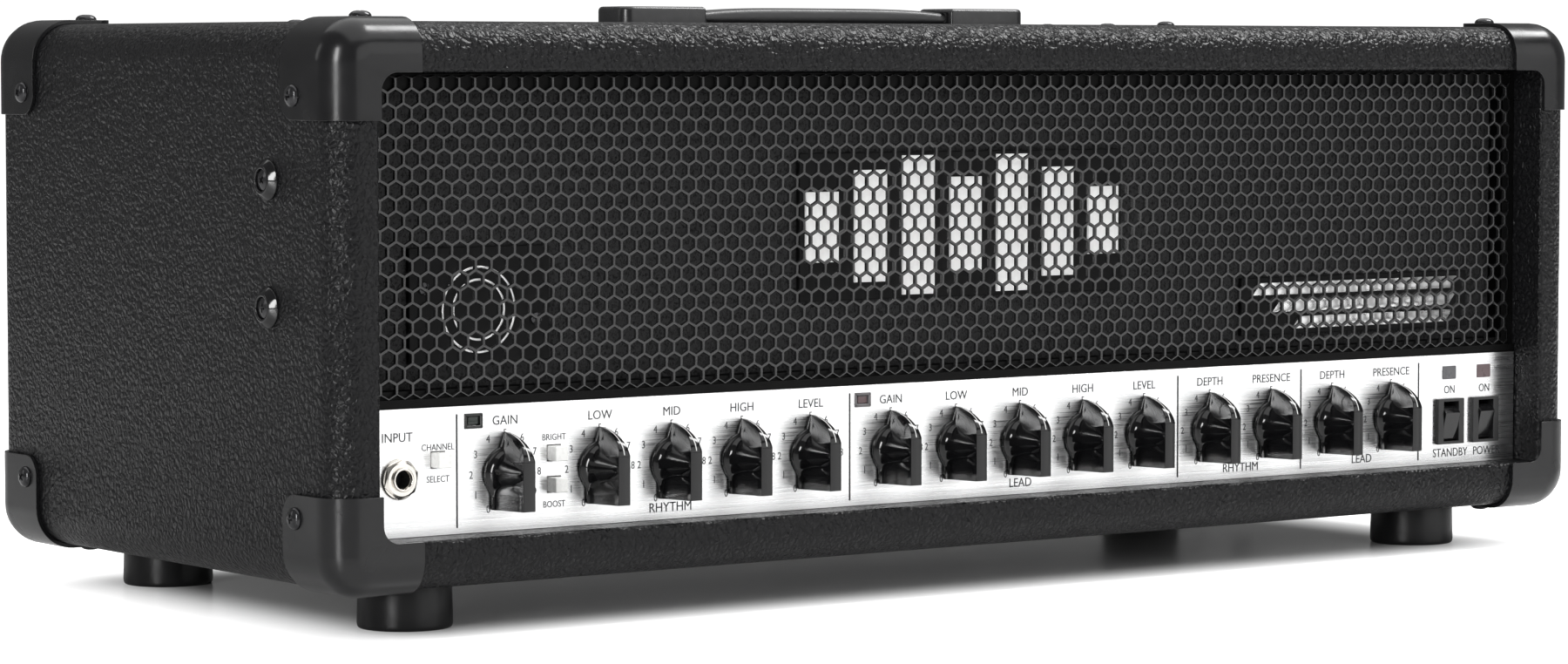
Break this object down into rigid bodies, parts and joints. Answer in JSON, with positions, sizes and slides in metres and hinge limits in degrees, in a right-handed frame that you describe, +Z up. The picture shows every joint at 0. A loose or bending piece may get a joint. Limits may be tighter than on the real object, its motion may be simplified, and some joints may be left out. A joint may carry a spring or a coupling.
{
  "type": "guitar amplifier head",
  "caption": "Valve guitar amplifier head: black vinyl box, hexagon grille, aluminium panel with pointer knobs, buttons, rocker switches, strap handle and rubber feet.",
  "frame": {"origin": "under the middle of the cabinet, on the plane that the rubber feet stand on", "axes": "+X to the right seen from the front, +Y from the control panel to the back, +Z up"},
  "size_m": [0.6784, 0.2876, 0.249],
  "materials": {
    "plywood": "bare birch plywood",
    "black_vinyl": "embossed leather-grain vinyl, satin",
    "corner_plastic": "satin black coated steel",
    "black_steel": "black oxide steel",
    "rubber": "matte moulded rubber",
    "gloss_black": "polished black",
    "handle_plastic": "satin black end caps",
    "strap_vinyl": "grained flexible strap",
    "frame_black": "matt black",
    "grille_wire": "black hexagon mesh",
    "backing": "dark textured cloth",
    "badge": "satin dark plate",
    "panel_aluminium": "horizontally brushed",
    "zinc_steel": "zinc plated sheet",
    "circuit_board": "printed circuit board",
    "capacitor_sleeve": "shrink sleeve",
    "nickel": "bright nickel",
    "knob_black": "glossy black phenolic",
    "white_plastic": "smooth white",
    "black_plastic": "moulded black",
    "lens": "unlit smoked lens",
    "valve_glass": "clear glass envelope",
    "socket_ceramic": "glazed ceramic",
    "transformer_black": "black enamel",
    "guard_black": "textured powder coat"
  },
  "bodies": {
    "cabinet": {"top_board": "plywood", "bottom_board": "plywood", "left_side_board": "plywood", "right_side_board": "plywood", "vinyl_covering": "black_vinyl", "corner_protectors": "corner_plastic", "screws": "black_steel", "rubber_feet": "rubber", "cabinet_bolts": "black_steel", "cup_washers": "gloss_black", "handle_end_caps": "handle_plastic", "grille_frame": "frame_black", "hex_grille": "grille_wire", "backing_board": "backing", "badge_plates": "badge", "front_panel": "panel_aluminium", "chassis": "zinc_steel", "circuit_board": "circuit_board", "filter_capacitors": "capacitor_sleeve", "potentiometers": "nickel", "control_nuts": "nickel", "input_jack": "nickel", "switch_housings": "black_plastic", "indicator_lenses": "lens", "rocker_frames": "black_plastic", "power_valves": "valve_glass", "preamp_valves": "valve_glass", "valve_sockets": "socket_ceramic", "power_transformer": "transformer_black", "output_transformer": "transformer_black", "rear_panel": "guard_black", "mains_panel": "guard_black", "rear_guard": "guard_black", "rear_jacks": "black_plastic", "mains_inlet_and_fuses": "black_plastic"},
    "knob_rhythm_gain": {"knob_rhythm_gain": "knob_black"},
    "knob_rhythm_low": {"knob_rhythm_low": "knob_black"},
    "knob_rhythm_mid": {"knob_rhythm_mid": "knob_black"},
    "knob_rhythm_high": {"knob_rhythm_high": "knob_black"},
    "knob_rhythm_level": {"knob_rhythm_level": "knob_black"},
    "knob_lead_gain": {"knob_lead_gain": "knob_black"},
    "knob_lead_low": {"knob_lead_low": "knob_black"},
    "knob_lead_mid": {"knob_lead_mid": "knob_black"},
    "knob_lead_high": {"knob_lead_high": "knob_black"},
    "knob_lead_level": {"knob_lead_level": "knob_black"},
    "knob_rhythm_depth": {"knob_rhythm_depth": "knob_black"},
    "knob_rhythm_presence": {"knob_rhythm_presence": "knob_black"},
    "knob_lead_depth": {"knob_lead_depth": "knob_black"},
    "knob_lead_presence": {"knob_lead_presence": "knob_black"},
    "channel_button": {"channel_button": "white_plastic"},
    "bright_button": {"bright_button": "white_plastic"},
    "crunch_button": {"crunch_button": "white_plastic"},
    "standby_rocker": {"standby_rocker": "gloss_black"},
    "power_rocker": {"power_rocker": "gloss_black"},
    "impedance_slider": {"impedance_slider": "white_plastic"},
    "strap_middle": {"handle_strap_middle": "strap_vinyl"},
    "strap_left": {"handle_strap_left": "strap_vinyl"},
    "strap_right": {"handle_strap_right": "strap_vinyl"},
    "slider_left": {"handle_slider_left": "strap_vinyl"},
    "slider_right": {"handle_slider_right": "strap_vinyl"}
  },
  "joints": [
    {"name": "turn_rhythm_gain", "type": "hinge", "parent": "cabinet", "child": "knob_rhythm_gain", "pos_m": [-0.248, -0.1262, 0.0622], "axis": [0, 1, 0], "range_deg": [-150, 150]},
    {"name": "turn_rhythm_low", "type": "hinge", "parent": "cabinet", "child": "knob_rhythm_low", "pos_m": [-0.2026, -0.1262, 0.0622], "axis": [0, 1, 0], "range_deg": [-150, 150]},
    {"name": "turn_rhythm_mid", "type": "hinge", "parent": "cabinet", "child": "knob_rhythm_mid", "pos_m": [-0.1673, -0.1262, 0.0622], "axis": [0, 1, 0], "range_deg": [-150, 150]},
    {"name": "turn_rhythm_high", "type": "hinge", "parent": "cabinet", "child": "knob_rhythm_high", "pos_m": [-0.132, -0.1262, 0.0622], "axis": [0, 1, 0], "range_deg": [-150, 150]},
    {"name": "turn_rhythm_level", "type": "hinge", "parent": "cabinet", "child": "knob_rhythm_level", "pos_m": [-0.0967, -0.1262, 0.0622], "axis": [0, 1, 0], "range_deg": [-150, 150]},
    {"name": "turn_lead_gain", "type": "hinge", "parent": "cabinet", "child": "knob_lead_gain", "pos_m": [-0.0545, -0.1262, 0.0622], "axis": [0, 1, 0], "range_deg": [-150, 150]},
    {"name": "turn_lead_low", "type": "hinge", "parent": "cabinet", "child": "knob_lead_low", "pos_m": [-0.01935, -0.1262, 0.0622], "axis": [0, 1, 0], "range_deg": [-150, 150]},
    {"name": "turn_lead_mid", "type": "hinge", "parent": "cabinet", "child": "knob_lead_mid", "pos_m": [0.0158, -0.1262, 0.0622], "axis": [0, 1, 0], "range_deg": [-150, 150]},
    {"name": "turn_lead_high", "type": "hinge", "parent": "cabinet", "child": "knob_lead_high", "pos_m": [0.05095, -0.1262, 0.0622], "axis": [0, 1, 0], "range_deg": [-150, 150]},
    {"name": "turn_lead_level", "type": "hinge", "parent": "cabinet", "child": "knob_lead_level", "pos_m": [0.0861, -0.1262, 0.0622], "axis": [0, 1, 0], "range_deg": [-150, 150]},
    {"name": "turn_rhythm_depth", "type": "hinge", "parent": "cabinet", "child": "knob_rhythm_depth", "pos_m": [0.1246, -0.1262, 0.0622], "axis": [0, 1, 0], "range_deg": [-150, 150]},
    {"name": "turn_rhythm_presence", "type": "hinge", "parent": "cabinet", "child": "knob_rhythm_presence", "pos_m": [0.1613, -0.1262, 0.0622], "axis": [0, 1, 0], "range_deg": [-150, 150]},
    {"name": "turn_lead_depth", "type": "hinge", "parent": "cabinet", "child": "knob_lead_depth", "pos_m": [0.1985, -0.1262, 0.0622], "axis": [0, 1, 0], "range_deg": [-150, 150]},
    {"name": "turn_lead_presence", "type": "hinge", "parent": "cabinet", "child": "knob_lead_presence", "pos_m": [0.2352, -0.1262, 0.0622], "axis": [0, 1, 0], "range_deg": [-150, 150]},
    {"name": "press_channel_button", "type": "slide", "parent": "cabinet", "child": "channel_button", "axis": [0, 1, 0], "range_m": [0, 0.003], "stiffness_N_per_m": 200},
    {"name": "press_bright_button", "type": "slide", "parent": "cabinet", "child": "bright_button", "axis": [0, 1, 0], "range_m": [0, 0.003], "stiffness_N_per_m": 200},
    {"name": "press_crunch_button", "type": "slide", "parent": "cabinet", "child": "crunch_button", "axis": [0, 1, 0], "range_m": [0, 0.003], "stiffness_N_per_m": 200},
    {"name": "tip_standby_rocker", "type": "hinge", "parent": "cabinet", "child": "standby_rocker", "pos_m": [0.2719, -0.123, 0.0588], "axis": [-1, 0, 0], "range_deg": [0, 24]},
    {"name": "tip_power_rocker", "type": "hinge", "parent": "cabinet", "child": "power_rocker", "pos_m": [0.2943, -0.123, 0.0588], "axis": [-1, 0, 0], "range_deg": [0, 24]},
    {"name": "slide_impedance", "type": "slide", "parent": "cabinet", "child": "impedance_slider", "axis": [1, 0, 0], "range_m": [-0.004, 0.004]},
    {"name": "lift_handle", "type": "slide", "parent": "cabinet", "child": "strap_middle", "axis": [0, 0, 1], "range_m": [0, 0.018]},
    {"name": "bend_right_inner", "type": "hinge", "parent": "strap_middle", "child": "strap_right", "pos_m": [0.008, 0, 0.2448], "axis": [0, 1, 0], "range_deg": [0, 18.58]},
    {"name": "bend_left_inner", "type": "hinge", "parent": "strap_middle", "child": "strap_left", "pos_m": [-0.008, 0, 0.2448], "axis": [0, -1, 0], "range_deg": [0, 18.58]},
    {"name": "bend_right_outer", "type": "hinge", "parent": "strap_right", "child": "slider_right", "pos_m": [0.0648, 0, 0.2448], "axis": [0, -1, 0], "range_deg": [0, 18.58]},
    {"name": "bend_left_outer", "type": "hinge", "parent": "strap_left", "child": "slider_left", "pos_m": [-0.0648, 0, 0.2448], "axis": [0, 1, 0], "range_deg": [0, 18.58]}
  ],
  "couplings": [
    {"joint": "bend_right_inner", "follows": "lift_handle", "rad_per_m": 17.914},
    {"joint": "bend_left_inner", "follows": "lift_handle", "rad_per_m": 17.914},
    {"joint": "bend_right_outer", "follows": "lift_handle", "rad_per_m": 17.914},
    {"joint": "bend_left_outer", "follows": "lift_handle", "rad_per_m": 17.914}
  ]
}
